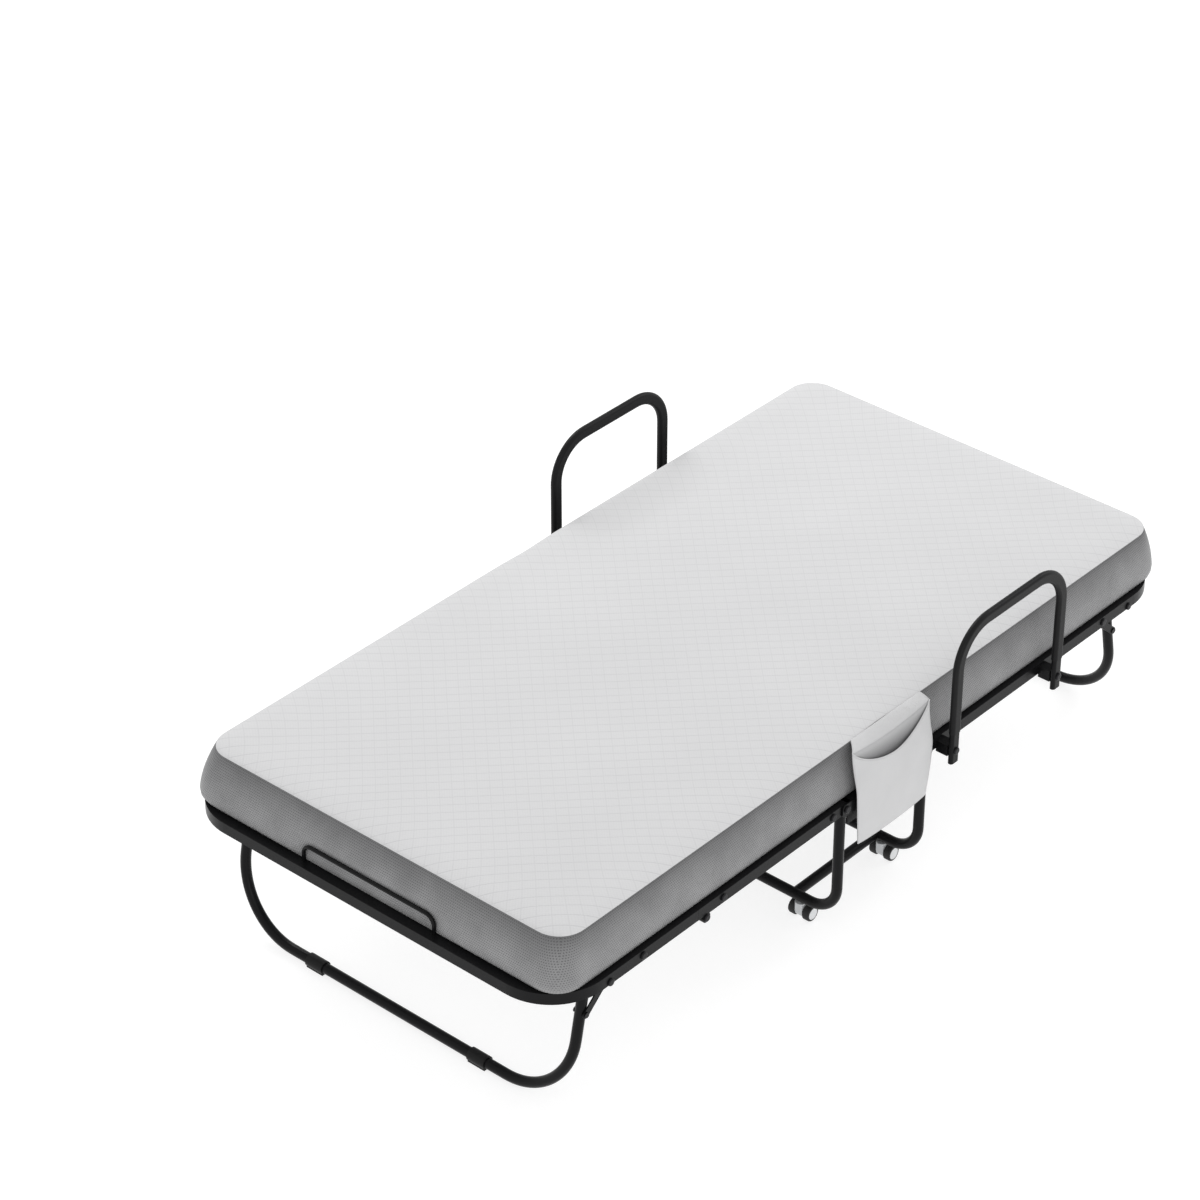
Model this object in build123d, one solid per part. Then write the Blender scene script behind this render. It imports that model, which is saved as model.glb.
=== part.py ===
from build123d import *
import math
import os

# Folding cot with a centre base on casters, two hinged deck halves, folding
# end legs, arm hoops and a fold-up mattress.  Millimetres.
# +X is the pocket side, +Y is the head, Z is up from the floor, and the cot
# is open and made up.  Head-side pieces are drawn at +Y and mirrored for
# the foot.

# ---- overall sizes ----
FRAME_WIDTH = 984.0
FRAME_LENGTH = 1933.0
RAIL_TOP = 331.0
MATTRESS_TOP = 447.0
HOOP_TOP = 597.0

# ---- clearances ----
PIN_CLEAR = 0.05        # radial, a pin in its hole
HINGE_GAP = 0.6         # between two plates that swing past each other
LINK_GAP = 0.3          # between stacked brace links
CLOTH_GAP = 0.3         # between soft solids and what they lie on
SEAT_GAP = 0.05         # between curved faces that seat on each other
FOLD_GAP = 2.5          # between a half's swinging end and the base
CUT_PAST = 1.0          # a cutter runs this far beyond the face it opens

# ---- frame tube ----
RAIL = 25.0
RAIL_WALL = 1.5
CORNER_R = 125.0
SECTION_JOINT_Y = 571.5         # outer and inner deck sections meet here
CROSS_MID_SETBACK = 50.5        # mid cross tube, from the section joint
BOLT_D = 8.0
HEAD_D = 16.0
HEAD_T = 4.0
HEAD_ROUND = 2.5
NUT_D = 12.0
NUT_T = 3.5

# ---- fold pivots ----
PIVOT_Y = 130.0
CROSS_INNER_GAP = 2.0           # inner cross tube's near face, beyond the pivot
PLATE_T = 3.0
PLATE_CORNER_R = 8.0

# ---- knuckle between the deck sections ----
KNUCKLE_SETBACK = 24.0          # pin, from the section joint
KNUCKLE_DROP = 7.0              # pin centre below the rail
KNUCKLE_R = 11.0
KNUCKLE_PLATE_LENGTH = 75.0
PLATE_BOLT_Y = 168.5
SECTION_BOLT_SETBACK = 73.0     # bolt, from the section joint

# ---- wire deck ----
WIRE_D = 4.5
WIRE_STEP_X = 80.0
WIRE_STEP_Y = 79.0
WIRE_END_GAP = 74.5             # last cross wire, from the end of the frame
WIRE_WEAVE = 1.0                # cross wires lie this much above the long ones
SLAT_X = 200.0
SLAT_WIDTH = 25.0
SLAT_THICK = 12.0
SLAT_WALL = 1.2

# ---- bails ----
BAIL_D = 8.0
BAIL_HALF_WIDTH = 173.0
BAIL_HEIGHT = 40.0
BAIL_R = 25.0
BAIL_FOOT_INSET = 21.5
BAIL_HEAD_INSET = 4.5

# ---- end legs ----
LEG_D = 22.0
LEG_WALL = 1.5
LEG_INSET = 58.0                # leg centre, inside the rail's outer face
LEG_PIVOT_INSET = 146.5         # leg pivot, from the end of the frame
LEG_PIVOT_RISE = 6.0            # leg pivot above the rail's underside
LEG_SPLAY = 60.0                # floor bar, outboard of the pivot
LEG_BEND_R = 150.0
LEG_TAIL = 6.0
LEG_CAP_T = 1.5
LEG_FOLD = 95.0
PAD_FROM_BEND = 69.0
PAD_LENGTH = 43.0
PAD_WALL = 3.0
PAD_FLAT = 20.0

# ---- jackknife braces ----
LINK_T = 3.0
LINK_W = 16.0
LINK_STAND_OFF = 1.0            # lower link from the leg tube
BRACE_BOLT_SETBACK = 91.5       # brace bolt, from the leg pivot
BOSS_D = 14.0
BRACE_BOSS_D = 12.0
BOSS_MARGIN = 4.0               # bracket plate beyond its bosses
PIN_HEAD_D = 12.0
PIN_HEAD_T = 2.0
BRACKET_T = 3.0
BRACKET_TOP_GAP = 6.0           # below the rail's top
BRACKET_DROP = 9.0              # below the rail's underside

# ---- hoops ----
HOOP_STAND_OFF = 28.0           # rail to hoop
HOOP_FLAT = 25.0
HOOP_THICK = 12.0
HOOP_WALL = 1.5
HOOP_BEND_R = 100.0
HOOP_NEAR_Y = 171.0
HOOP_FAR_Y = 514.0
HOOP_DROP = 21.0                # below the rail
HOOP_BOLT_RISE = 6.0            # above the rail's underside
HOOP_CAP_T = 2.0
SLEEVE_RISE = 23.0              # above the rail's top
SLEEVE_WALL = 1.25
SPACER_HEIGHT = 25.0

# ---- base ----
BASE_TUBE_D = 22.0
BASE_TUBE_WALL = 1.5
BASE_LEG_INSET = 12.0
BASE_LEG_Y = 131.0
BASE_BEND_R = 65.0
SPREADER_INSET = 116.0
CROSS_TUBE_Y = 75.0
CROSS_TUBE_DROP = 44.0          # below the rails
HANGER_WIDTH = 34.0
HANGER_MARGIN = 2.0

# ---- casters ----
CASTER_INSET = 100.0
CASTER_HEADROOM = 7.5           # wheel to the tube above it
CASTER_TRAIL = 8.0
WHEEL_D = 35.0
WHEEL_T = 17.0
WHEEL_ROUND = 2.5
WHEEL_RIM = 6.0
WHEEL_DISH = 2.0
HOUSING_T = 18.0
HOUSING_R = 14.5
WHEEL_GAP = 0.5
AXLE_D = 6.0
AXLE_SHY = 3.0                  # axle ends inside the wheels' faces
STEM_D = 8.0
STEM_REACH = 17.0
COLLAR_D = 24.0
COLLAR_T = 3.0
TURN_GAP = 1.0

# ---- mattress ----
MATTRESS_BULGE_INSET = 10.0
MATTRESS_SEAM_INSET = 30.0
MATTRESS_UNDER_INSET = 14.0
BULGE_RISE = 24.0               # widest line, above the rail's top
MATTRESS_FOOT_INSET = 32.5
MATTRESS_HEAD_INSET = 11.5
MATTRESS_CORNER_R = 60.0
FOLD_CUT_Y = 259.0

# ---- pocket ----
POCKET_BOLT_GAP = 1.0           # behind the pocket, clear of the pivot bolts
POCKET_DEPTH = 13.4
POCKET_WALL = 1.5
POCKET_BOTTOM_DROP = 231.0      # below the mattress top
POCKET_MOUTH_DROP = 51.0
POCKET_DIP = 7.0
POCKET_DIP_MARGIN = 10.0
POCKET_BOTTOM_Y = (-98.0, 114.0)
POCKET_MOUTH_Y = (-111.0, 120.0)
POCKET_TOP_Y = (-102.0, 138.0)
POCKET_FLAP_DROP = 2.5

# ---- derived places ----
rail_outer = FRAME_WIDTH / 2
rail_inner = rail_outer - RAIL
frame_end = FRAME_LENGTH / 2
rail_bottom = RAIL_TOP - RAIL
rail_z = RAIL_TOP - RAIL / 2
bolt_hole_r = BOLT_D / 2 + PIN_CLEAR
wire_long_z = RAIL_TOP - WIRE_D - WIRE_WEAVE + WIRE_D / 2
wire_cross_z = wire_long_z + WIRE_WEAVE
slat_z = wire_cross_z - WIRE_D / 2 - SLAT_THICK / 2
plate_inner = rail_outer + HINGE_GAP
plate_outer = plate_inner + PLATE_T
flange_top = rail_bottom - LINK_GAP
flange_bottom = flange_top - PLATE_T
cross_inner_y = PIVOT_Y + CROSS_INNER_GAP + RAIL / 2
cross_mid_y = SECTION_JOINT_Y - CROSS_MID_SETBACK
knuckle_y = SECTION_JOINT_Y - KNUCKLE_SETBACK
section_bolt_y = SECTION_JOINT_Y - SECTION_BOLT_SETBACK
knuckle_z = rail_bottom - KNUCKLE_DROP
base_deck_end = PIVOT_Y - RAIL / 2 - FOLD_GAP
bracket_x = rail_inner - BRACKET_T
bracket_top = RAIL_TOP - BRACKET_TOP_GAP
wire_last_y = frame_end - WIRE_END_GAP

leg_x = rail_outer - LEG_INSET
leg_pivot_y = frame_end - LEG_PIVOT_INSET
leg_pivot_z = rail_bottom + LEG_PIVOT_RISE
leg_bar_y = leg_pivot_y + LEG_SPLAY
leg_bar_z = LEG_D / 2 + PAD_WALL
pad_x = leg_x - LEG_BEND_R - PAD_FROM_BEND
brace_bolt_y = leg_pivot_y - BRACE_BOLT_SETBACK
brace_bolt_z = rail_z
link_low_x = leg_x + LEG_D / 2 + LINK_STAND_OFF
link_up_x = link_low_x + LINK_T + LINK_GAP
leg_length = math.hypot(LEG_SPLAY, leg_pivot_z - leg_bar_z)
leg_lean = math.degrees(math.atan2(LEG_SPLAY, leg_pivot_z - leg_bar_z))
folded_lean = LEG_FOLD - leg_lean
brace_pin_reach = BRACE_BOLT_SETBACK / math.sin(math.radians(folded_lean))
brace_pin_y = leg_pivot_y + brace_pin_reach * math.sin(math.radians(leg_lean))
brace_pin_z = leg_pivot_z - brace_pin_reach * math.cos(math.radians(leg_lean))
link_length = math.hypot(brace_pin_y - brace_bolt_y, brace_bolt_z - brace_pin_z) / 2
knee_y = (brace_pin_y + brace_bolt_y) / 2
knee_z = (brace_pin_z + brace_bolt_z) / 2
folded_pin_z = leg_pivot_z - brace_pin_reach * math.cos(math.radians(folded_lean))
half_gap = (brace_bolt_z - folded_pin_z) / 2
link_open_angle = math.degrees(math.atan2(brace_bolt_z - knee_z, knee_y - brace_bolt_y))
link_folded_angle = math.degrees(math.asin(half_gap / link_length))
brace_upper_turn = link_open_angle - link_folded_angle
brace_lower_turn = 180 - link_open_angle - link_folded_angle - LEG_FOLD

hoop_face = rail_outer + HOOP_STAND_OFF
hoop_x = hoop_face + HOOP_THICK / 2
hoop_bottom = rail_bottom - HOOP_DROP
hoop_bolt_z = rail_bottom + HOOP_BOLT_RISE
sleeve_bottom = RAIL_TOP + SLEEVE_RISE

base_leg_x = rail_outer - BASE_LEG_INSET
run_bottom = WHEEL_D + CASTER_HEADROOM
run_z = run_bottom + BASE_TUBE_D / 2
spreader_x = rail_outer - SPREADER_INSET
cross_tube_z = rail_bottom - CROSS_TUBE_DROP
caster_x = rail_outer - CASTER_INSET
axle_z = WHEEL_D / 2

mattress_low = RAIL_TOP + CLOTH_GAP
bulge_x = rail_outer - MATTRESS_BULGE_INSET
seam_x = rail_outer - MATTRESS_SEAM_INSET
under_x = rail_outer - MATTRESS_UNDER_INSET
mattress_foot_y = MATTRESS_FOOT_INSET - frame_end
mattress_head_y = frame_end - MATTRESS_HEAD_INSET
pocket_back_x = plate_outer + HEAD_T + POCKET_BOLT_GAP
pocket_bottom_z = MATTRESS_TOP - POCKET_BOTTOM_DROP
pocket_mouth_z = MATTRESS_TOP - POCKET_MOUTH_DROP


def block(x0, x1, y0, y1, z0, z1):
    """Box between two corners."""
    size = Vector(x1 - x0, y1 - y0, z1 - z0)
    middle = Location(((x0 + x1) / 2, (y0 + y1) / 2, (z0 + z1) / 2))
    return middle * Box(size.X, size.Y, size.Z)


def rod_x(x0, x1, y, z, radius):
    """Round bar along X."""
    place = Location(((x0 + x1) / 2, y, z), (0, 90, 0))
    return place * Cylinder(radius, x1 - x0)


def rod_y(y0, y1, x, z, radius):
    """Round bar along Y."""
    place = Location((x, (y0 + y1) / 2, z), (90, 0, 0))
    return place * Cylinder(radius, y1 - y0)


def rod_z(z0, z1, x, y, radius):
    """Round bar along Z."""
    return Location((x, y, (z0 + z1) / 2)) * Cylinder(radius, z1 - z0)


def bolt_x(x_tail, x_seat, y, z, nut=0.0):
    """Domed bolt along X, with its head outside x_seat and a nut at the tail."""
    shank = rod_x(x_tail, x_seat + HEAD_T / 2, y, z, BOLT_D / 2)
    head = rod_x(x_seat, x_seat + HEAD_T, y, z, HEAD_D / 2)
    bolt = shank + fillet(head.edges().group_by(Axis.X)[-1], HEAD_ROUND)
    if nut:
        bolt += rod_x(x_tail, x_tail + nut, y, z, NUT_D / 2)
    return bolt


def tube_along(path, section):
    """Section swept along a path, square to its start."""
    return sweep(Plane(origin=path @ 0, z_dir=path % 0) * section, path=path)


def ring(radius, wall):
    """Round tube section."""
    return Circle(radius) - Circle(radius - wall)


def both_sides(piece):
    """A piece and its mirror image across the cot's middle."""
    return [piece, mirror(piece, about=Plane.YZ)]


def at_end(pieces, end):
    """Pieces drawn at the head, or mirrored for the foot."""
    if end == "foot":
        return [mirror(p, about=Plane.XZ) for p in pieces]
    return pieces


def save(name, pieces):
    """Write a node, one STEP file of one or more separate solids."""
    solids = []
    for p in pieces:
        solids += p.solids()
    export_step(Compound(solids), f"parts/{name}.step")


# ---- deck halves ----
def rail_slice(inset):
    """Plan outline of the frame's tube, inset from its faces, beyond the section joint."""
    outside = RectangleRounded(FRAME_WIDTH - 2 * inset, FRAME_LENGTH - 2 * inset, CORNER_R - inset)
    inner_width = FRAME_WIDTH - 2 * RAIL + 2 * inset
    inner_length = FRAME_LENGTH - 2 * RAIL + 2 * inset
    inside = RectangleRounded(inner_width, inner_length, CORNER_R - RAIL + inset)
    keep = Pos(0, SECTION_JOINT_Y + FRAME_LENGTH / 2) * Rectangle(FRAME_WIDTH * 2, FRAME_LENGTH)
    return (outside - inside) & keep


def outer_frame():
    """U-shaped end section with its knuckle plates."""
    solid = Pos(0, 0, rail_bottom) * extrude(rail_slice(0), RAIL)
    hollow = extrude(rail_slice(RAIL_WALL), RAIL - 2 * RAIL_WALL)
    tube = solid - Pos(0, 0, rail_bottom + RAIL_WALL) * hollow
    plate_start = knuckle_y - KNUCKLE_R
    plate = block(bracket_x, rail_inner, plate_start, plate_start + KNUCKLE_PLATE_LENGTH,
                  knuckle_z - KNUCKLE_R, bracket_top)
    for side in both_sides(plate - rod_x(bracket_x, rail_inner, knuckle_y, knuckle_z, bolt_hole_r)):
        tube += side
    for y, z in ((leg_pivot_y, leg_pivot_z), (brace_bolt_y, brace_bolt_z)):
        for side in both_sides(rod_x(rail_inner - CUT_PAST, rail_outer + CUT_PAST, y, z, bolt_hole_r)):
            tube -= side
    return [tube]


def inner_rail(bolt_places):
    """Side rail of an inner section, rounded about the fold pivot."""
    end = SECTION_JOINT_Y - CLOTH_GAP
    rail = block(rail_inner, rail_outer, PIVOT_Y, end, rail_bottom, RAIL_TOP)
    rail += rod_x(rail_inner, rail_outer, PIVOT_Y, rail_z, RAIL / 2)
    rail += rod_x(rail_inner, rail_outer, knuckle_y, knuckle_z, KNUCKLE_R)
    rail -= block(rail_inner + RAIL_WALL, rail_outer - RAIL_WALL, PIVOT_Y + RAIL / 2, end,
                  rail_bottom + RAIL_WALL, RAIL_TOP - RAIL_WALL)
    for y, z in [(PIVOT_Y, rail_z), (knuckle_y, knuckle_z)] + bolt_places:
        rail -= rod_x(rail_inner - CUT_PAST, rail_outer + CUT_PAST, y, z, bolt_hole_r)
    return rail


def square_cross_tube(y):
    """Cross tube between the rails."""
    tube = block(-rail_inner, rail_inner, y - RAIL / 2, y + RAIL / 2, rail_bottom, RAIL_TOP)
    inset = RAIL / 2 - RAIL_WALL
    return tube - block(-rail_inner, rail_inner, y - inset, y + inset,
                        rail_bottom + RAIL_WALL, RAIL_TOP - RAIL_WALL)


def inner_frame(bolt_places):
    """Inner section: two rails and two cross tubes."""
    frame = square_cross_tube(cross_inner_y) + square_cross_tube(cross_mid_y)
    for rail in both_sides(inner_rail(bolt_places)):
        frame += rail
    return [frame]


def wire_net(y0, y1, cross_places):
    """Long wires between y0 and y1 joined by cross wires between the rails."""
    net = None
    last = int((rail_inner - WIRE_D) // WIRE_STEP_X)
    for i in range(-last, last + 1):
        wire = rod_y(y0, y1, i * WIRE_STEP_X, wire_long_z, WIRE_D / 2)
        net = wire if net is None else net + wire
    for y in cross_places:
        net += rod_x(-rail_inner, rail_inner, y, wire_cross_z, WIRE_D / 2)
    return [net]


def outer_deck(y0):
    """Wires of an outer section, cut to the curve of its frame."""
    inside = RectangleRounded(FRAME_WIDTH - 2 * RAIL, FRAME_LENGTH - 2 * RAIL, CORNER_R - RAIL)
    room = Pos(0, 0, rail_bottom) * extrude(inside, RAIL)
    net = wire_net(y0, frame_end - RAIL, cross_wires(SECTION_JOINT_Y, frame_end))[0]
    return [net & room]


def cross_wires(low, high):
    """Places of the cross wires between two limits."""
    count = int((wire_last_y - low) // WIRE_STEP_Y)
    places = [wire_last_y - i * WIRE_STEP_Y for i in range(count + 1)]
    return [y for y in places if low < y < high]


def slat_pair(y0, y1):
    """Two flat tubes under the wires."""
    low = slat_z - SLAT_THICK / 2
    half = SLAT_WIDTH / 2
    slat = block(SLAT_X - half, SLAT_X + half, y0, y1, low, low + SLAT_THICK)
    slat -= block(SLAT_X - half + SLAT_WALL, SLAT_X + half - SLAT_WALL, y0, y1,
                  low + SLAT_WALL, low + SLAT_THICK - SLAT_WALL)
    return both_sides(slat)


def bail(y):
    """Wire loop that keeps the bedding on the frame."""
    x = BAIL_HALF_WIDTH - BAIL_D / 2
    top = RAIL_TOP + BAIL_HEIGHT - BAIL_D / 2
    points = [(x, y, RAIL_TOP), (x, y, top), (-x, y, top), (-x, y, RAIL_TOP)]
    return [tube_along(FilletPolyline(*points, radius=BAIL_R - BAIL_D / 2), Circle(BAIL_D / 2))]


def leg_bracket():
    """Plate inside the rail with a spacer boss for the leg and one for the brace."""
    reach = BOSS_D / 2 + BOSS_MARGIN
    plate = block(bracket_x, rail_inner, brace_bolt_y - reach, leg_pivot_y + reach,
                  rail_bottom - BRACKET_DROP, bracket_top)
    leg_boss = rod_x(leg_x + LEG_D / 2 + LINK_GAP, bracket_x, leg_pivot_y, leg_pivot_z, BOSS_D / 2)
    brace_face = link_up_x + LINK_T + LINK_GAP / 2
    brace_boss = rod_x(brace_face, bracket_x, brace_bolt_y, brace_bolt_z, BRACE_BOSS_D / 2)
    bracket = plate + leg_boss + brace_boss
    for y, z in ((leg_pivot_y, leg_pivot_z), (brace_bolt_y, brace_bolt_z)):
        bracket -= rod_x(leg_x, rail_inner + CUT_PAST, y, z, bolt_hole_r)
    return bracket


def leg_bracket_bolts():
    """Leg pivot bolt and brace bolt on one side."""
    leg_nut_x = leg_x - LEG_D / 2 - LINK_GAP - NUT_T
    brace_nut_x = link_up_x - LINK_GAP / 2 - NUT_T + LINK_GAP
    return [bolt_x(leg_nut_x, rail_outer, leg_pivot_y, leg_pivot_z, NUT_T),
            bolt_x(brace_nut_x, rail_outer, brace_bolt_y, brace_bolt_z, NUT_T - LINK_GAP)]


# ---- end legs and braces ----
leg_down = Vector(0, math.sin(math.radians(leg_lean)), -math.cos(math.radians(leg_lean)))
leg_normal = Vector(1, 0, 0).cross(leg_down)
leg_plane = Plane(origin=(0, leg_pivot_y, leg_pivot_z), x_dir=(1, 0, 0), z_dir=leg_normal)


def on_leg(x, reach):
    """Point in the leg's plane, at a distance from its pivot axis."""
    return leg_plane.from_local_coords(Vector(x, reach, 0))


def end_leg():
    """Bent tube leg with holes for its pivot bolts and brace pins."""
    points = [on_leg(leg_x, -LEG_TAIL), on_leg(leg_x, leg_length),
              on_leg(-leg_x, leg_length), on_leg(-leg_x, -LEG_TAIL)]
    leg = tube_along(FilletPolyline(*points, radius=LEG_BEND_R), ring(LEG_D / 2, LEG_WALL))
    for y, z in ((leg_pivot_y, leg_pivot_z), (brace_pin_y, brace_pin_z)):
        for hole in both_sides(rod_x(leg_x - LEG_D, leg_x + LEG_D, y, z, bolt_hole_r)):
            leg -= hole
    return [leg]


def leg_pads_and_caps():
    """Clip-on floor pads and plugs in the tube's ends."""
    inner = LEG_D / 2 + SEAT_GAP
    outer = leg_bar_z
    x0 = pad_x - PAD_LENGTH / 2
    pad = rod_x(x0, x0 + PAD_LENGTH, leg_bar_y, leg_bar_z, outer)
    pad += block(x0, x0 + PAD_LENGTH, leg_bar_y - PAD_FLAT / 2, leg_bar_y + PAD_FLAT / 2, 0, leg_bar_z)
    pad -= rod_x(x0, x0 + PAD_LENGTH, leg_bar_y, leg_bar_z, inner)
    end = on_leg(leg_x, -LEG_TAIL)
    cap = Plane(origin=end, z_dir=-leg_down) * extrude(Circle(LEG_D / 2), LEG_CAP_T)
    return both_sides(pad) + both_sides(cap)


def brace_leg_pin():
    """Shoulder pin that holds the lower link on the leg."""
    inner = leg_x - LEG_D / 2
    pin = rod_x(inner - PIN_HEAD_T, link_low_x + LINK_T + LINK_GAP, brace_pin_y, brace_pin_z, BOLT_D / 2)
    pin += rod_x(inner - PIN_HEAD_T, inner, brace_pin_y, brace_pin_z, PIN_HEAD_D / 2)
    head_x = link_low_x + LINK_T + LINK_GAP / 2
    return pin + rod_x(head_x, head_x + PIN_HEAD_T, brace_pin_y, brace_pin_z, PIN_HEAD_D / 2)


def link(x, y0, z0, y1, z1, first_hole, second_hole):
    """Flat bar with round ends between two pivots."""
    length = math.hypot(y1 - y0, z1 - z0)
    plane = Plane(origin=(x, y0, z0), x_dir=(0, y1 - y0, z1 - z0), z_dir=(1, 0, 0))
    flat = Pos(length / 2, 0) * SlotCenterToCenter(length, LINK_W)
    if first_hole:
        flat -= Circle(bolt_hole_r)
    if second_hole:
        flat -= Pos(length, 0) * Circle(bolt_hole_r)
    return plane * extrude(flat, LINK_T)


def brace_upper():
    """Upper link on the frame, on both sides."""
    return both_sides(link(link_up_x, brace_bolt_y, brace_bolt_z, knee_y, knee_z, True, False))


def brace_lower():
    """Lower link on the leg with its knee rivet, on both sides."""
    bar = link(link_low_x, brace_pin_y, brace_pin_z, knee_y, knee_z, True, True)
    rivet = rod_x(link_low_x, link_low_x + LINK_T, knee_y, knee_z, BOLT_D / 2)
    return both_sides(bar) + both_sides(rivet)


# ---- hoops ----
def hoop_path(low):
    """Centre line of a hoop whose legs start at a height."""
    top = HOOP_TOP - HOOP_FLAT / 2
    points = [(hoop_x, HOOP_NEAR_Y, low), (hoop_x, HOOP_NEAR_Y, top),
              (hoop_x, HOOP_FAR_Y, top), (hoop_x, HOOP_FAR_Y, low)]
    return FilletPolyline(*points, radius=HOOP_BEND_R - HOOP_FLAT / 2)


def hoop_section(grow, hollow):
    """Flat-oval ring whose long side lies along the hoop's plane."""
    outer = SlotOverall(HOOP_FLAT + 2 * grow, HOOP_THICK + 2 * grow)
    return outer - SlotOverall(HOOP_FLAT + 2 * hollow, HOOP_THICK + 2 * hollow)


def hoop_sweep(low, section):
    """Section swept round the hoop from a height."""
    path = hoop_path(low)
    start = Plane(origin=path @ 0, x_dir=(0, 1, 0), z_dir=(0, 0, 1))
    return sweep(start * section, path=path)


def hoop():
    """Bent flat-oval tube with its bolt holes."""
    tube = hoop_sweep(hoop_bottom, hoop_section(0, -HOOP_WALL))
    for y in (HOOP_NEAR_Y, HOOP_FAR_Y):
        tube -= rod_x(hoop_x - HOOP_THICK, hoop_x + HOOP_THICK, y, hoop_bolt_z, bolt_hole_r)
    return tube


def hoop_sleeve():
    """Soft grip over the upper part of a hoop."""
    return hoop_sweep(sleeve_bottom, hoop_section(SLEEVE_WALL + SEAT_GAP, SEAT_GAP))


def hoop_spacer(y):
    """Block between the rail and a hoop leg."""
    low = hoop_bolt_z - SPACER_HEIGHT / 2
    spacer = block(rail_outer, hoop_face, y - HOOP_FLAT / 2, y + HOOP_FLAT / 2,
                   low, low + SPACER_HEIGHT)
    return spacer - rod_x(rail_outer, hoop_x, y, hoop_bolt_z, bolt_hole_r)


def hoop_bolt(y):
    """Bolt through a hoop leg and its spacer into the rail."""
    return bolt_x(rail_inner + LINK_GAP, hoop_x + HOOP_THICK / 2, y, hoop_bolt_z)


def hoop_cap(y):
    """Plug in the open end of a hoop leg."""
    face = Pos(hoop_x, y, hoop_bottom - HOOP_CAP_T) * SlotOverall(HOOP_FLAT, HOOP_THICK, rotation=90)
    return extrude(face, HOOP_CAP_T)


# ---- base ----
def base_side_rail():
    """Hinge plate, flange, short rail and hangers on one side."""
    reach = PIVOT_Y + RAIL / 2
    height = RAIL_TOP - flange_bottom
    outline = Plane(origin=(plate_inner, 0, flange_bottom + height / 2), x_dir=(0, 1, 0), z_dir=(1, 0, 0))
    rail = outline * extrude(RectangleRounded(2 * reach, height, PLATE_CORNER_R), PLATE_T)
    rail += block(rail_inner, plate_outer, PLATE_CORNER_R - reach, reach - PLATE_CORNER_R,
                  flange_bottom, flange_top)
    rail += block(rail_inner, plate_inner, -base_deck_end, base_deck_end, flange_top, RAIL_TOP)
    rail -= block(rail_inner + RAIL_WALL, plate_inner - RAIL_WALL, -base_deck_end, base_deck_end,
                  flange_top + RAIL_WALL, RAIL_TOP - RAIL_WALL)
    for y in (-CROSS_TUBE_Y, CROSS_TUBE_Y):
        rail += block(rail_inner, rail_inner + PLATE_T, y - HANGER_WIDTH / 2, y + HANGER_WIDTH / 2,
                      cross_tube_z - BASE_TUBE_D / 2 - HANGER_MARGIN, flange_bottom)
    for y in (-PIVOT_Y, PIVOT_Y):
        rail -= rod_x(plate_inner - CUT_PAST, plate_outer + CUT_PAST, y, rail_z, bolt_hole_r)
    return rail


def base_leg(y):
    """Bent tube under the side rails that carries two casters."""
    x = base_leg_x
    points = [(x, y, flange_bottom), (x, y, run_z), (-x, y, run_z), (-x, y, flange_bottom)]
    leg = tube_along(FilletPolyline(*points, radius=BASE_BEND_R), ring(BASE_TUBE_D / 2, BASE_TUBE_WALL))
    for sign in (-1, 1):
        leg -= rod_z(run_z - BASE_TUBE_D, run_z, sign * caster_x, y, STEM_D / 2 + PIN_CLEAR)
    return leg


def spreader_bar():
    """Bar between the two base legs, coped to them."""
    bar = rod_y(-BASE_LEG_Y, BASE_LEG_Y, spreader_x, run_z, BASE_TUBE_D / 2)
    bar -= rod_y(-BASE_LEG_Y, BASE_LEG_Y, spreader_x, run_z, BASE_TUBE_D / 2 - BASE_TUBE_WALL)
    for y in (-BASE_LEG_Y, BASE_LEG_Y):
        bar -= rod_x(spreader_x - BASE_TUBE_D, spreader_x + BASE_TUBE_D, y, run_z,
                     BASE_TUBE_D / 2 + SEAT_GAP)
    return bar


def cross_tube(y):
    """Round tube between the hangers."""
    tube = rod_x(-rail_inner, rail_inner, y, cross_tube_z, BASE_TUBE_D / 2)
    return tube - rod_x(-rail_inner, rail_inner, y, cross_tube_z, BASE_TUBE_D / 2 - BASE_TUBE_WALL)


def pivot_bolt(y):
    """Shoulder bolt from the hinge plate through a half's rail."""
    return bolt_x(rail_inner + LINK_GAP, plate_outer, y, rail_z)


# ---- casters ----
def caster_housing(x, y):
    """Swivel housing with its stem."""
    wheel_y = y + CASTER_TRAIL
    half = HOUSING_T / 2
    body = rod_x(x - half, x + half, wheel_y, axle_z, HOUSING_R)
    collar_top = run_bottom - TURN_GAP
    body += block(x - half, x + half, y - HOUSING_R / 2, wheel_y + HOUSING_R / 2, axle_z, collar_top)
    body += rod_z(collar_top - COLLAR_T, collar_top, x, y, COLLAR_D / 2)
    body += rod_z(collar_top - COLLAR_T, run_bottom + STEM_REACH, x, y, STEM_D / 2)
    return body - rod_x(x - half, x + half, wheel_y, axle_z, AXLE_D / 2)


def caster_axle(x, y):
    """Axle fixed in the housing."""
    reach = HOUSING_T / 2 + WHEEL_GAP + WHEEL_T - AXLE_SHY
    return rod_x(x - reach, x + reach, y + CASTER_TRAIL, axle_z, AXLE_D / 2)


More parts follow.
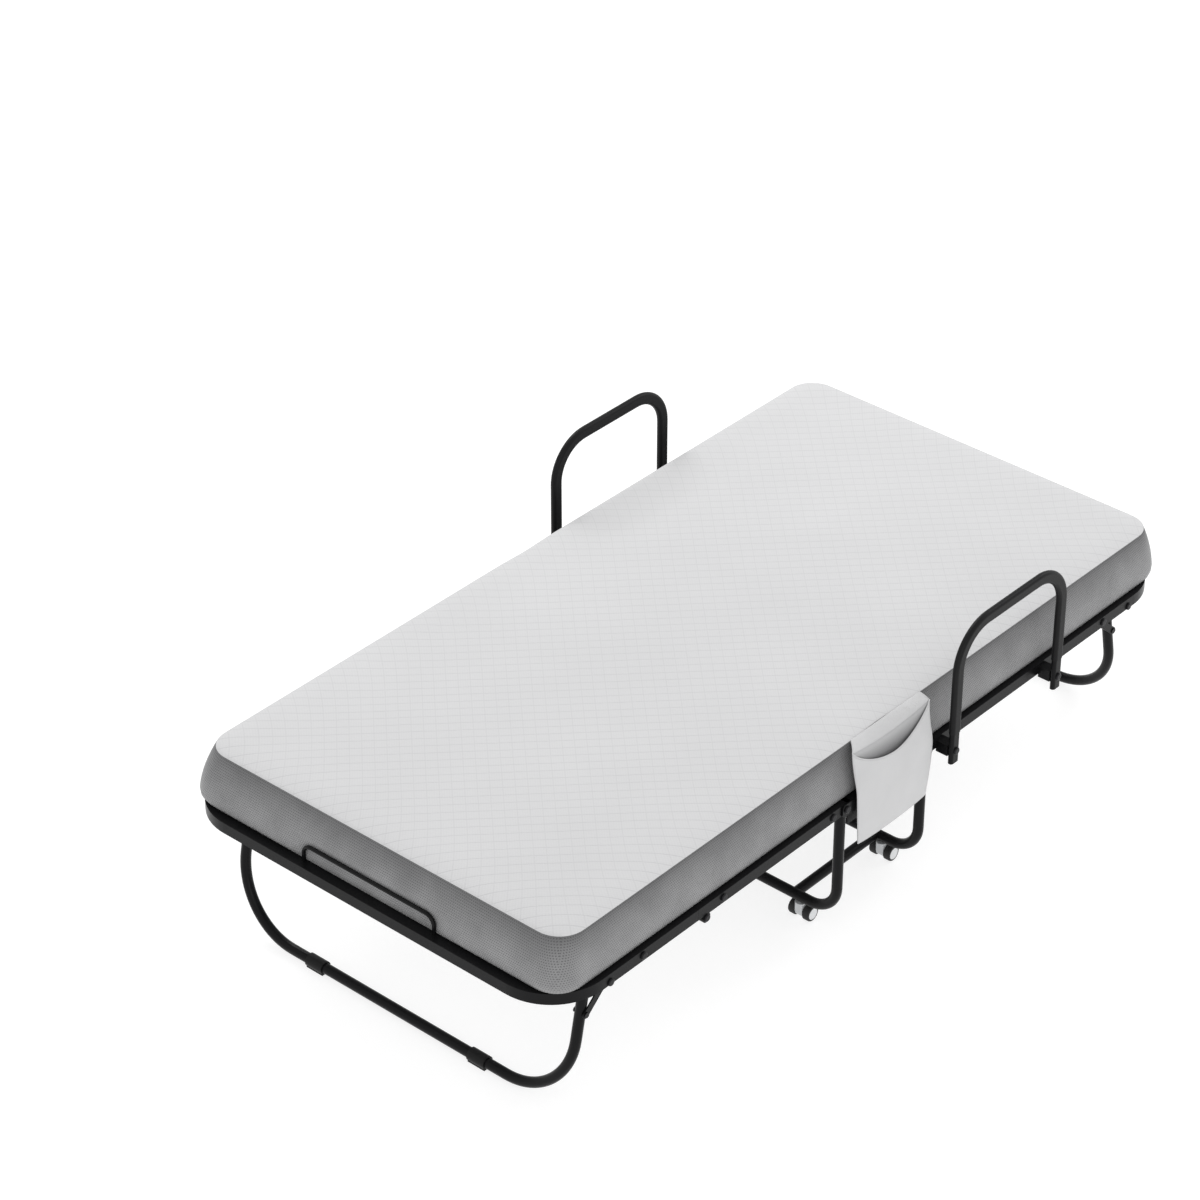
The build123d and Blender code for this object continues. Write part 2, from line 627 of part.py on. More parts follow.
def caster_wheels(x, y):
    """Two dished wheels."""
    near = HOUSING_T / 2 + WHEEL_GAP
    far = near + WHEEL_T
    wheels = []
    for sign in (-1, 1):
        x0, x1 = sorted((x + sign * near, x + sign * far))
        rim = rod_x(x0, x1, y + CASTER_TRAIL, axle_z, WHEEL_D / 2)
        rim = fillet(rim.edges(), WHEEL_ROUND)
        dish = rod_x(x + sign * far - WHEEL_DISH, x + sign * far + WHEEL_DISH, y + CASTER_TRAIL, axle_z,
                     WHEEL_D / 2 - WHEEL_RIM)
        bore = rod_x(x0 - CUT_PAST, x1 + CUT_PAST, y + CASTER_TRAIL, axle_z, AXLE_D / 2 + PIN_CLEAR)
        wheels.append(rim - dish - bore)
    return wheels


# ---- mattress and pocket ----
def mattress(y0, y1):
    """Mattress between two places along the cot."""
    side = [(under_x, mattress_low), (bulge_x, RAIL_TOP + BULGE_RISE), (seam_x, MATTRESS_TOP)]
    full = side + [(-x, z) for x, z in reversed(side)]
    upright = Plane(origin=(0, y0, 0), x_dir=(1, 0, 0), z_dir=(0, -1, 0))
    outline = upright * make_face(Polyline(*full, close=True))
    body = extrude(outline, amount=y1 - y0, dir=(0, 1, 0))
    length = mattress_head_y - mattress_foot_y
    plan = Pos(0, (mattress_head_y + mattress_foot_y) / 2) * RectangleRounded(
        2 * bulge_x, length, MATTRESS_CORNER_R)
    return body & Pos(0, 0, RAIL_TOP) * extrude(plan, MATTRESS_TOP)


def pocket_prism(x0, x1, inset, z0, z1):
    """Tapered slab of the pocket between two heights."""
    def edge_y(z, side):
        share = (z - pocket_bottom_z) / (pocket_mouth_z - pocket_bottom_z)
        place = POCKET_BOTTOM_Y[side] + share * (POCKET_MOUTH_Y[side] - POCKET_BOTTOM_Y[side])
        return place + inset * (1 - 2 * side)
    points = [(edge_y(z0, 0), z0), (edge_y(z0, 1), z0), (edge_y(z1, 1), z1), (edge_y(z1, 0), z1)]
    plane = Plane(origin=(x0, 0, 0), x_dir=(0, 1, 0), z_dir=(1, 0, 0))
    return plane * extrude(make_face(Polyline(*points, close=True)), x1 - x0)


def storage_pocket():
    """Flat hanging bag, open at the top."""
    front_x = pocket_back_x + POCKET_DEPTH
    bag = pocket_prism(pocket_back_x, front_x, 0, pocket_bottom_z, pocket_mouth_z)
    bag -= pocket_prism(pocket_back_x + POCKET_WALL, front_x - POCKET_WALL, POCKET_WALL,
                        pocket_bottom_z + POCKET_WALL, pocket_mouth_z + CUT_PAST)
    width = POCKET_MOUTH_Y[1] - POCKET_MOUTH_Y[0] - 2 * POCKET_DIP_MARGIN
    radius = (width * width / 4 + POCKET_DIP * POCKET_DIP) / (2 * POCKET_DIP)
    middle = (POCKET_MOUTH_Y[0] + POCKET_MOUTH_Y[1]) / 2
    dip_z = pocket_mouth_z - POCKET_DIP + radius
    return bag - rod_x(pocket_back_x + POCKET_WALL, front_x + CUT_PAST, middle, dip_z, radius)


def pocket_flap():
    """Cloth from the mattress edge down to the bag."""
    low_x = pocket_back_x
    high_x = seam_x + POCKET_WALL
    low_z = pocket_mouth_z + CLOTH_GAP
    high_z = MATTRESS_TOP - POCKET_FLAP_DROP
    profile = [(low_x, low_z), (low_x + POCKET_WALL, low_z), (high_x + POCKET_WALL, high_z), (high_x, high_z)]
    plane = Plane(origin=(0, POCKET_TOP_Y[0], 0), x_dir=(1, 0, 0), z_dir=(0, -1, 0))
    sheet = extrude(plane * make_face(Polyline(*profile, close=True)),
                    amount=POCKET_TOP_Y[1] - POCKET_TOP_Y[0], dir=(0, 1, 0))
    edge = [(POCKET_MOUTH_Y[0], low_z - CUT_PAST), (POCKET_MOUTH_Y[1], low_z - CUT_PAST),
            (POCKET_TOP_Y[1], high_z), (POCKET_TOP_Y[0], high_z)]
    side = Plane(origin=(0, 0, 0), x_dir=(0, 1, 0), z_dir=(1, 0, 0)) * make_face(Polyline(*edge, close=True))
    return sheet & extrude(side, FRAME_WIDTH)


# ---- write every node ----
os.makedirs("parts", exist_ok=True)

for end in ("foot", "head"):
    if end == "foot":
        rail_bolts = [(PLATE_BOLT_Y, rail_z), (section_bolt_y, rail_z)]
    else:
        rail_bolts = [(HOOP_NEAR_Y, hoop_bolt_z), (HOOP_FAR_Y, hoop_bolt_z)]
    bail_y = frame_end - (BAIL_FOOT_INSET if end == "foot" else BAIL_HEAD_INSET)
    outer_start = min(cross_wires(SECTION_JOINT_Y, frame_end)) - WIRE_D
    inner_start = cross_inner_y + RAIL / 2
    inner_stop = cross_mid_y - RAIL / 2
    bolts = [bolt_x(bracket_x - LINK_GAP - NUT_T, rail_outer, knuckle_y, knuckle_z, NUT_T)]
    if end == "foot":
        bolts += [bolt_x(rail_inner - NUT_T, rail_outer, y, z, NUT_T) for y, z in rail_bolts]
    bolts += [mirror(b, about=Plane.YZ) for b in bolts]
    bracket_bolts = leg_bracket_bolts()
    bracket_bolts += [mirror(b, about=Plane.YZ) for b in bracket_bolts]

    save(f"outer_frame_{end}", at_end(outer_frame(), end))
    save(f"inner_frame_{end}", at_end(inner_frame(rail_bolts), end))
    save(f"outer_deck_{end}", at_end(outer_deck(outer_start), end))
    save(f"inner_deck_{end}", at_end(
        wire_net(inner_start, inner_stop, cross_wires(inner_start, inner_stop)), end))
    save(f"slats_{end}", at_end(
        slat_pair(inner_start, inner_stop) + slat_pair(outer_start, frame_end - RAIL), end))
    save(f"frame_bolts_{end}", at_end(bolts, end))
    save(f"bail_{end}", at_end(bail(bail_y), end))
    save(f"leg_brackets_{end}", at_end(both_sides(leg_bracket()), end))
    save(f"leg_bracket_bolts_{end}", at_end(bracket_bolts, end))
    save(f"end_leg_{end}", at_end(end_leg(), end))
    save(f"leg_pads_{end}", at_end(leg_pads_and_caps(), end))
    save(f"brace_leg_pins_{end}", at_end(both_sides(brace_leg_pin()), end))
    save(f"brace_upper_{end}", at_end(brace_upper(), end))
    save(f"brace_lower_{end}", at_end(brace_lower(), end))

save("hoop_right", [hoop()])
save("hoop_left", [mirror(hoop(), about=Plane.YZ)])
save("hoop_sleeves", both_sides(hoop_sleeve()))
hoop_legs = (HOOP_NEAR_Y, HOOP_FAR_Y)
save("hoop_spacers", [s for y in hoop_legs for s in both_sides(hoop_spacer(y))])
save("hoop_bolts", [s for y in hoop_legs for s in both_sides(hoop_bolt(y))])
save("hoop_caps", [s for y in hoop_legs for s in both_sides(hoop_cap(y))])

base_cross = [i * WIRE_STEP_Y for i in (-1, 0, 1)]
save("base_side_rails", both_sides(base_side_rail()))
save("base_leg_foot", [base_leg(-BASE_LEG_Y)])
save("base_leg_head", [base_leg(BASE_LEG_Y)])
save("base_spreader_bars", both_sides(spreader_bar()))
save("base_cross_tubes", [cross_tube(-CROSS_TUBE_Y), cross_tube(CROSS_TUBE_Y)])
save("base_wire_deck", wire_net(-base_deck_end, base_deck_end, base_cross))
save("base_slats", slat_pair(-base_deck_end, base_deck_end))
save("fold_pivot_bolts", [s for y in (-PIVOT_Y, PIVOT_Y) for s in both_sides(pivot_bolt(y))])
save("storage_pocket", [storage_pocket()])
save("pocket_flap", [pocket_flap()])
save("mattress_foot", [mattress(mattress_foot_y, -FOLD_CUT_Y)])
save("mattress_fold_foot", [mattress(-FOLD_CUT_Y + CLOTH_GAP, 0)])
save("mattress_fold_head", [mattress(CLOTH_GAP, FOLD_CUT_Y - CLOTH_GAP)])
save("mattress_head", [mattress(FOLD_CUT_Y, mattress_head_y)])

corners = {"foot_left": (-1, -1), "foot_right": (1, -1), "head_left": (-1, 1), "head_right": (1, 1)}
for corner, (side_x, side_y) in corners.items():
    place = (side_x * caster_x, side_y * BASE_LEG_Y)
    save(f"caster_housing_{corner}", [caster_housing(*place)])
    save(f"caster_axle_{corner}", [caster_axle(*place)])
    save(f"caster_wheels_{corner}", caster_wheels(*place))

print("leg", round(leg_length, 2), "lean", round(leg_lean, 2))
print("brace pin", round(brace_pin_y, 2), round(brace_pin_z, 2), "knee", round(knee_y, 2), round(knee_z, 2))
print("turns", round(brace_upper_turn / LEG_FOLD, 5), round(brace_lower_turn / LEG_FOLD, 5))
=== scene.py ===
import math

import bmesh
import bpy
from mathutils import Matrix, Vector


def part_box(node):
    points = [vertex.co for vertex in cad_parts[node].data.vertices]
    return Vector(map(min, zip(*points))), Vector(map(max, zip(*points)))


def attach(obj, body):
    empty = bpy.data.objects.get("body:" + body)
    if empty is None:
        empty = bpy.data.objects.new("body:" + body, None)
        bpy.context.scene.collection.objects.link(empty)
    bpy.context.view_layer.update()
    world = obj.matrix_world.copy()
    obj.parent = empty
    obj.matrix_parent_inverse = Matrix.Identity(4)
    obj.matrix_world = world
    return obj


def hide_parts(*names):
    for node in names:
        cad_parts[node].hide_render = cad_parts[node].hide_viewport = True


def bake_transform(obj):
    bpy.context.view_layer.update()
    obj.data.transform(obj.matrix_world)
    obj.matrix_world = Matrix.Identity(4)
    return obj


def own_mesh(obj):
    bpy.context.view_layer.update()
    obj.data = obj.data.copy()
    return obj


# Folding cot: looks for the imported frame, in metres.
# +X is the pocket side, +Y the head, Z up from the floor.

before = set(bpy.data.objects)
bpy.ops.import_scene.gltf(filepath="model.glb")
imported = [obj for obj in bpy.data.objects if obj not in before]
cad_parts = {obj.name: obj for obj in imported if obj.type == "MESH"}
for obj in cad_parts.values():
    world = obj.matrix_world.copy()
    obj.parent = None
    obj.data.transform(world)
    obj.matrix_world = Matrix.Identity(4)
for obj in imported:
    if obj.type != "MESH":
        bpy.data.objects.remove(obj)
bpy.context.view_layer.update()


# ---------- camera, light and floor ----------
def set_view():
    """Long-lens camera high over the foot corner on the pocket side."""
    data = bpy.data.cameras.new("view")
    data.lens = 116.88
    data.sensor_width = 36.0
    data.clip_end = 60.0
    camera = bpy.data.objects.new("view", data)
    bpy.context.scene.collection.objects.link(camera)
    camera.location = (4.1211, -4.9831, 4.8258)
    camera.rotation_euler = (math.radians(56.34), 0.0, math.radians(41.28))
    bpy.context.scene.camera = camera


def area_light(name, place, aim, size, power):
    """Soft square lamp at a place, turned towards a point."""
    data = bpy.data.lights.new(name, "AREA")
    data.shape = "SQUARE"
    data.size = size
    data.energy = power
    lamp = bpy.data.objects.new(name, data)
    bpy.context.scene.collection.objects.link(lamp)
    lamp.location = place
    lamp.rotation_euler = (Vector(aim) - Vector(place)).to_track_quat("-Z", "Y").to_euler()


def set_light():
    """White surround with a key from the left, a fill and a rim from behind."""
    world = bpy.data.worlds.new("studio")
    world.use_nodes = True
    background = world.node_tree.nodes["Background"]
    background.inputs["Color"].default_value = (1.0, 1.0, 1.0, 1.0)
    background.inputs["Strength"].default_value = 0.82
    bpy.context.scene.world = world
    bpy.context.scene.view_settings.view_transform = "Standard"
    area_light("key", (-3.6, 1.2, 4.4), (0, 0, 0.3), 2.6, 120)
    area_light("fill", (3.4, -3.4, 2.6), (0, 0, 0.3), 2.6, 30)
    area_light("rim", (1.6, 4.6, 3.4), (0, 0, 0.4), 2.2, 60)


def set_floor():
    """Wide pale floor."""
    mesh = bpy.data.meshes.new("floor")
    bm = bmesh.new()
    bmesh.ops.create_grid(bm, x_segments=1, y_segments=1, size=30.0)
    bm.to_mesh(mesh)
    bm.free()
    floor = bpy.data.objects.new("floor", mesh)
    bpy.context.scene.collection.objects.link(floor)
    floor.location.z = -0.0005
    mesh.materials.append(plain_paper())


# ---------- shader helpers ----------
def new_material(name):
    """Material with its tree, shader and links at hand."""
    material = bpy.data.materials.new(name)
    material.use_nodes = True
    tree = material.node_tree
    return material, tree, tree.nodes["Principled BSDF"]


def add(tree, kind, **values):
    """Node with its properties set."""
    node = tree.nodes.new(kind)
    for key, value in values.items():
        setattr(node, key, value)
    return node


def socketed_group(name, inputs, outputs):
    """Empty node group with named sockets, and its two end nodes."""
    group = bpy.data.node_groups.new(name, "ShaderNodeTree")
    for label, kind, value in inputs:
        socket = group.interface.new_socket(name=label, in_out="INPUT", socket_type=kind)
        socket.default_value = value
    for label, kind in outputs:
        group.interface.new_socket(name=label, in_out="OUTPUT", socket_type=kind)
    return group, add(group, "NodeGroupInput"), add(group, "NodeGroupOutput")


def math_node(tree, operation, first, second=None):
    """Math node fed by sockets or numbers."""
    node = add(tree, "ShaderNodeMath", operation=operation)
    for slot, value in enumerate((first, second)):
        if value is None:
            continue
        if isinstance(value, (int, float)):
            node.inputs[slot].default_value = value
        else:
            tree.links.new(value, node.inputs[slot])
    return node.outputs[0]


def mix_colour(tree, mask, low, high):
    """Colour mix between two colours or sockets by a mask."""
    node = add(tree, "ShaderNodeMix", data_type="RGBA")
    tree.links.new(mask, node.inputs[0])
    for slot, value in ((6, low), (7, high)):
        if isinstance(value, tuple):
            node.inputs[slot].default_value = value
        else:
            tree.links.new(value, node.inputs[slot])
    return node.outputs[2]


def use_group(tree, group, **values):
    """Group node in a material with its own values."""
    node = add(tree, "ShaderNodeGroup", node_tree=group)
    for label, value in values.items():
        node.inputs[label.replace("_", " ")].default_value = value
    return node


def object_coords(tree):
    """Object coordinates, in metres."""
    return add(tree, "ShaderNodeTexCoord").outputs["Object"]


def noise(tree, vector, scale, detail=4.0, rough=0.55):
    """Noise value on a coordinate."""
    node = add(tree, "ShaderNodeTexNoise")
    tree.links.new(vector, node.inputs["Vector"])
    if isinstance(scale, (int, float)):
        node.inputs["Scale"].default_value = scale
    else:
        tree.links.new(scale, node.inputs["Scale"])
    node.inputs["Detail"].default_value = detail
    node.inputs["Roughness"].default_value = rough
    return node.outputs["Fac"]


def make_speckle_group():
    """Fine grain and slow cloudiness, for coats and plastics."""
    group, ends_in, ends_out = socketed_group(
        "speckle",
        [("Grain Scale", "NodeSocketFloat", 900.0), ("Cloud Scale", "NodeSocketFloat", 6.0)],
        [("Grain", "NodeSocketFloat"), ("Cloud", "NodeSocketFloat")])
    where = object_coords(group)
    group.links.new(noise(group, where, ends_in.outputs["Grain Scale"], 2.0), ends_out.inputs["Grain"])
    group.links.new(noise(group, where, ends_in.outputs["Cloud Scale"], 5.0), ends_out.inputs["Cloud"])
    return group


def wave_lines(tree, axis_value, pitch, sharp):
    """Thin dark line mask that repeats along a value."""
    turns = math_node(tree, "DIVIDE", axis_value, pitch)
    wave = math_node(tree, "COSINE", math_node(tree, "MULTIPLY", turns, 2 * math.pi))
    raised = math_node(tree, "MULTIPLY", math_node(tree, "ADD", wave, 1.0), 0.5)
    return math_node(tree, "POWER", raised, sharp)


def make_quilt_group():
    """Diagonal quilted grid of a knit: puffed squares, stitched lines, one set painted stronger than the
    other for the way light falls across them, and fine ribs.
    """
    group, ends_in, ends_out = socketed_group(
        "quilt",
        [("Vector", "NodeSocketVector", (0, 0, 0)), ("Pitch", "NodeSocketFloat", 0.03),
         ("Rib Pitch", "NodeSocketFloat", 0.0042)],
        [("Height", "NodeSocketFloat"), ("Lines", "NodeSocketFloat"), ("Ribs", "NodeSocketFloat")])
    turned = add(group, "ShaderNodeMapping")
    turned.inputs["Rotation"].default_value = (0, 0, math.radians(45))
    group.links.new(ends_in.outputs["Vector"], turned.inputs["Vector"])
    parts = add(group, "ShaderNodeSeparateXYZ")
    group.links.new(turned.outputs[0], parts.inputs[0])
    pitch = ends_in.outputs["Pitch"]
    rib = ends_in.outputs["Rib Pitch"]
    line_u = wave_lines(group, parts.outputs[0], pitch, 60.0)
    line_v = wave_lines(group, parts.outputs[1], pitch, 60.0)
    # Painted light: one set of lines is weighted down to 0.45 so it shows fainter, as the light falls along
    # it.
    lines = math_node(group, "MAXIMUM", line_u, math_node(group, "MULTIPLY", line_v, 0.45))
    rib_u = wave_lines(group, parts.outputs[0], rib, 3.0)
    rib_v = wave_lines(group, parts.outputs[1], rib, 3.0)
    ribs = math_node(group, "MULTIPLY", math_node(group, "ADD", rib_u, rib_v), 0.5)
    puff = math_node(group, "SUBTRACT", 1.0, lines)
    height = math_node(group, "ADD", puff, math_node(group, "MULTIPLY", ribs, 0.12))
    group.links.new(height, ends_out.inputs["Height"])
    group.links.new(lines, ends_out.inputs["Lines"])
    group.links.new(ribs, ends_out.inputs["Ribs"])
    return group


def make_weave_group():
    """Two crossing sets of threads on a flat coordinate."""
    group, ends_in, ends_out = socketed_group(
        "weave",
        [("Vector", "NodeSocketVector", (0, 0, 0)), ("Pitch U", "NodeSocketFloat", 0.003),
         ("Pitch V", "NodeSocketFloat", 0.003)],
        [("Height", "NodeSocketFloat"), ("Holes", "NodeSocketFloat")])
    parts = add(group, "ShaderNodeSeparateXYZ")
    group.links.new(ends_in.outputs["Vector"], parts.inputs[0])
    row = math_node(group, "DIVIDE", parts.outputs[1], ends_in.outputs["Pitch V"])
    step = math_node(group, "MULTIPLY", math_node(group, "FLOOR", row), 0.5)
    column = math_node(group, "DIVIDE", parts.outputs[0], ends_in.outputs["Pitch U"])
    along = math_node(group, "ADD", column, step)
    wave_u = math_node(group, "SINE", math_node(group, "MULTIPLY", along, 2 * math.pi))
    wave_v = math_node(group, "SINE", math_node(group, "MULTIPLY", row, 2 * math.pi))
    height = math_node(group, "MULTIPLY", math_node(group, "ADD", wave_u, wave_v), 0.5)
    hole = math_node(group, "GREATER_THAN", height, 0.42)
    group.links.new(height, ends_out.inputs["Height"])
    group.links.new(hole, ends_out.inputs["Holes"])
    return group


# Heights over which painted shade darkens the side mesh towards the top seam.
SHADE_LOW_Z = 0.35
SHADE_HIGH_Z = 0.445

SPECKLE = make_speckle_group()
QUILT = make_quilt_group()
WEAVE = make_weave_group()


def bump(tree, shader, height, strength, distance, under=None):
    """Bump into the shader's normal, over an earlier one if given."""
    node = add(tree, "ShaderNodeBump")
    node.inputs["Strength"].default_value = strength
    node.inputs["Distance"].default_value = distance
    tree.links.new(height, node.inputs["Height"])
    if under is not None:
        tree.links.new(under, node.inputs["Normal"])
    tree.links.new(node.outputs[0], shader.inputs["Normal"])
    return node.outputs[0]


def coat_material(name, dark, light, rough, grain, depth, cloud=5.0, metal=0.0, gloss=0.5):
    """Speckled coat or plastic: colour and gloss drift a little over the surface."""
    material, tree, shader = new_material(name)
    speckle = use_group(tree, SPECKLE, Grain_Scale=grain, Cloud_Scale=cloud)
    tree.links.new(mix_colour(tree, speckle.outputs["Cloud"], dark, light), shader.inputs["Base Color"])
    drift = add(tree, "ShaderNodeMapRange")
    drift.inputs["To Min"].default_value = rough - 0.06
    drift.inputs["To Max"].default_value = rough + 0.06
    tree.links.new(speckle.outputs["Cloud"], drift.inputs["Value"])
    tree.links.new(drift.outputs[0], shader.inputs["Roughness"])
    shader.inputs["Metallic"].default_value = metal
    shader.inputs["Specular IOR Level"].default_value = gloss
    bump(tree, shader, speckle.outputs["Grain"], 0.35, depth)
    return material


def plain_paper():
    """Matt white studio paper, lit from within so that shadows on it stay pale."""
    material = coat_material("studio_paper", (0.30, 0.30, 0.30, 1), (0.32, 0.32, 0.32, 1), 0.85, 60.0, 0.0002)
    shader = material.node_tree.nodes["Principled BSDF"]
    shader.inputs["Emission Color"].default_value = (1.0, 1.0, 1.0, 1.0)
    shader.inputs["Emission Strength"].default_value = 0.78
    return material


def quilted_knit():
    """White knit top, quilted on the diagonal, with painted shade darkening the stitched lines."""
    material, tree, shader = new_material("quilted_knit")
    where = add(tree, "ShaderNodeUVMap", uv_map="cloth").outputs[0]
    quilt = use_group(tree, QUILT, Pitch=0.024, Rib_Pitch=0.0048)
    tree.links.new(where, quilt.inputs["Vector"])
    speckle = use_group(tree, SPECKLE, Grain_Scale=700.0, Cloud_Scale=3.0)
    plain = mix_colour(tree, speckle.outputs["Cloud"], (0.56, 0.56, 0.565, 1), (0.62, 0.62, 0.625, 1))
    # Painted shade: the stitched quilt lines are darkened in the colour, as shade in their grooves.
    groove_shade_mask = math_node(tree, "MULTIPLY", quilt.outputs["Lines"], 0.3)
    groove_shaded = mix_colour(tree, groove_shade_mask, plain, (0.36, 0.36, 0.37, 1))
    rib_mask = math_node(tree, "MULTIPLY", quilt.outputs["Ribs"], 0.16)
    tree.links.new(mix_colour(tree, rib_mask, groove_shaded, (0.42, 0.42, 0.43, 1)), shader.inputs["Base Color"])
    shader.inputs["Roughness"].default_value = 0.9
    shader.inputs["Sheen Weight"].default_value = 0.15
    shader.inputs["Specular IOR Level"].default_value = 0.25
    under = bump(tree, shader, quilt.outputs["Height"], 0.35, 0.0008)
    bump(tree, shader, speckle.outputs["Grain"], 0.25, 0.0004, under)
    return material


def mesh_cloth():
    """Grey bird's-eye spacer mesh of the mattress sides, with painted shade darkening it towards the top
    seam.
    """
    material, tree, shader = new_material("side_mesh")
    where = add(tree, "ShaderNodeUVMap", uv_map="cloth").outputs[0]
    weave = use_group(tree, WEAVE, Pitch_U=0.0046, Pitch_V=0.0046)
    tree.links.new(where, weave.inputs["Vector"])
    speckle = use_group(tree, SPECKLE, Grain_Scale=420.0, Cloud_Scale=13.0)
    cloudy = mix_colour(tree, speckle.outputs["Cloud"], (0.17, 0.17, 0.173, 1), (0.36, 0.36, 0.364, 1))
    parts = add(tree, "ShaderNodeSeparateXYZ")
    tree.links.new(where, parts.inputs[0])
    # Painted shade: the side mesh darkens towards the top seam.
    shade = add(tree, "ShaderNodeMapRange")
    shade.inputs["From Min"].default_value = SHADE_LOW_Z
    shade.inputs["From Max"].default_value = SHADE_HIGH_Z
    tree.links.new(parts.outputs[1], shade.inputs["Value"])
    seam_shade = math_node(tree, "POWER", shade.outputs[0], 2.0)
    plain = mix_colour(tree, math_node(tree, "MULTIPLY", seam_shade, 0.7), cloudy, (0.06, 0.06, 0.062, 1))
    holes = math_node(tree, "MULTIPLY", weave.outputs["Holes"], 0.62)
    tree.links.new(mix_colour(tree, holes, plain, (0.05, 0.05, 0.052, 1)), shader.inputs["Base Color"])
    shader.inputs["Roughness"].default_value = 0.82
    shader.inputs["Sheen Weight"].default_value = 0.25
    shader.inputs["Specular IOR Level"].default_value = 0.3
    under = bump(tree, shader, weave.outputs["Height"], 0.5, 0.0006)
    bump(tree, shader, speckle.outputs["Grain"], 0.3, 0.0005, under)
    return material


def plain_cloth(name, dark, light, pitch):
    """Woven cloth on its own flat coordinate."""
    material, tree, shader = new_material(name)
    where = add(tree, "ShaderNodeUVMap", uv_map="cloth").outputs[0]
    weave = use_group(tree, WEAVE, Pitch_U=pitch, Pitch_V=pitch)
    tree.links.new(where, weave.inputs["Vector"])
    speckle = use_group(tree, SPECKLE, Grain_Scale=500.0, Cloud_Scale=14.0)
    tree.links.new(mix_colour(tree, speckle.outputs["Cloud"], dark, light), shader.inputs["Base Color"])
    shader.inputs["Roughness"].default_value = 0.86
    shader.inputs["Sheen Weight"].default_value = 0.2
    shader.inputs["Specular IOR Level"].default_value = 0.25
    under = bump(tree, shader, weave.outputs["Height"], 0.4, 0.0004)
    bump(tree, shader, speckle.outputs["Cloud"], 0.2, 0.004, under)
    return material


def shaded_lining():
    """Grey lining with painted shade: dark deep in the pocket, paler towards the pocket's mouth where light
    falls in.
    """
    material = plain_cloth("pocket_lining", (0.13, 0.13, 0.132, 1), (0.2, 0.2, 0.203, 1), 0.0024)
    tree = material.node_tree
    shader = tree.nodes["Principled BSDF"]
    parts = add(tree, "ShaderNodeSeparateXYZ")
    tree.links.new(add(tree, "ShaderNodeUVMap", uv_map="cloth").outputs[0], parts.inputs[0])
    # Painted light: the lining turns paler towards the mouth.
    rise = add(tree, "ShaderNodeMapRange")
    rise.inputs["From Min"].default_value = 0.18
    rise.inputs["From Max"].default_value = 0.22
    tree.links.new(parts.outputs[1], rise.inputs["Value"])
    grey = shader.inputs["Base Color"].links[0].from_socket
    tree.links.new(mix_colour(tree, rise.outputs[0], grey, (0.5, 0.5, 0.505, 1)), shader.inputs["Base Color"])
    return material


POWDER_COAT = coat_material("black_powder_coat", (0.0035, 0.0035, 0.004, 1), (0.0065, 0.0065, 0.007, 1),
                            0.30, 1400.0, 0.00025, gloss=0.13)
WIRE_COAT = coat_material("black_wire_coat", (0.004, 0.004, 0.0045, 1), (0.008, 0.008, 0.0085, 1),
                          0.36, 1100.0, 0.0002, gloss=0.13)
BOLT_BLACK = coat_material("black_bolt_plating", (0.010, 0.010, 0.011, 1), (0.020, 0.020, 0.022, 1),
                           0.32, 800.0, 0.0001, metal=0.5, gloss=0.2)
PAD_PLASTIC = coat_material("black_pad_plastic", (0.006, 0.006, 0.006, 1), (0.011, 0.011, 0.011, 1),
                            0.45, 500.0, 0.0002, gloss=0.16)
GRIP_VINYL = coat_material("black_grip_vinyl", (0.005, 0.005, 0.0055, 1), (0.009, 0.009, 0.0095, 1),
                           0.46, 650.0, 0.0005, gloss=0.16)
TREAD_RUBBER = coat_material("tread_rubber", (0.010, 0.010, 0.010, 1), (0.022, 0.022, 0.022, 1),
                             0.6, 400.0, 0.0003, gloss=0.3)
CASTER_GREY = coat_material("caster_grey_plastic", (0.46, 0.47, 0.48, 1), (0.56, 0.57, 0.58, 1),
                            0.34, 300.0, 0.0001)
HUB_WHITE = coat_material("hub_white_plastic", (0.66, 0.67, 0.68, 1), (0.76, 0.77, 0.78, 1),
                          0.3, 300.0, 0.0001)
AXLE_STEEL = coat_material("axle_steel", (0.35, 0.35, 0.36, 1), (0.48, 0.48, 0.49, 1),
                           0.3, 900.0, 0.0001, metal=0.9)
KNIT = quilted_knit()
SIDE_MESH = mesh_cloth()
UNDER_CLOTH = plain_cloth("underside_cloth", (0.66, 0.66, 0.665, 1), (0.75, 0.75, 0.755, 1), 0.003)
POCKET_CLOTH = plain_cloth("pocket_cloth", (0.55, 0.55, 0.555, 1), (0.63, 0.63, 0.635, 1), 0.0024)
LINING_CLOTH = shaded_lining()


# ---------- carried-over frame pieces ----------
def finish_frame():
    """Finishes of the pieces whose shape is already right."""
    finishes = {
        "frame_bolts": BOLT_BLACK, "fold_pivot_bolts": BOLT_BLACK, "hoop_bolts": BOLT_BLACK,
        "leg_bracket_bolts": BOLT_BLACK, "brace_leg_pins": BOLT_BLACK, "leg_pads": PAD_PLASTIC,
        "hoop_caps": PAD_PLASTIC, "hoop_sleeves": GRIP_VINYL, "caster_axle": AXLE_STEEL,
        "caster_housing": CASTER_GREY, "bail": POWDER_COAT, "outer_deck": WIRE_COAT,
        "inner_deck": WIRE_COAT, "base_wire_deck": WIRE_COAT,
    }
    for name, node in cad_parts.items():
        coat = POWDER_COAT
        for start, finish in finishes.items():
            if name.startswith(start):
                coat = finish
        node.data.materials.clear()
        node.data.materials.append(coat)


# ---------- mesh helpers ----------
def new_piece(name, bm, materials, smooth=True):
    """Object at the origin from a bmesh."""
    mesh = bpy.data.meshes.new(name)
    for face in bm.faces:
        face.smooth = smooth
    bm.to_mesh(mesh)
    bm.free()
    for material in materials:
        mesh.materials.append(material)
    piece = bpy.data.objects.new(name, mesh)
    bpy.context.scene.collection.objects.link(piece)
    return piece


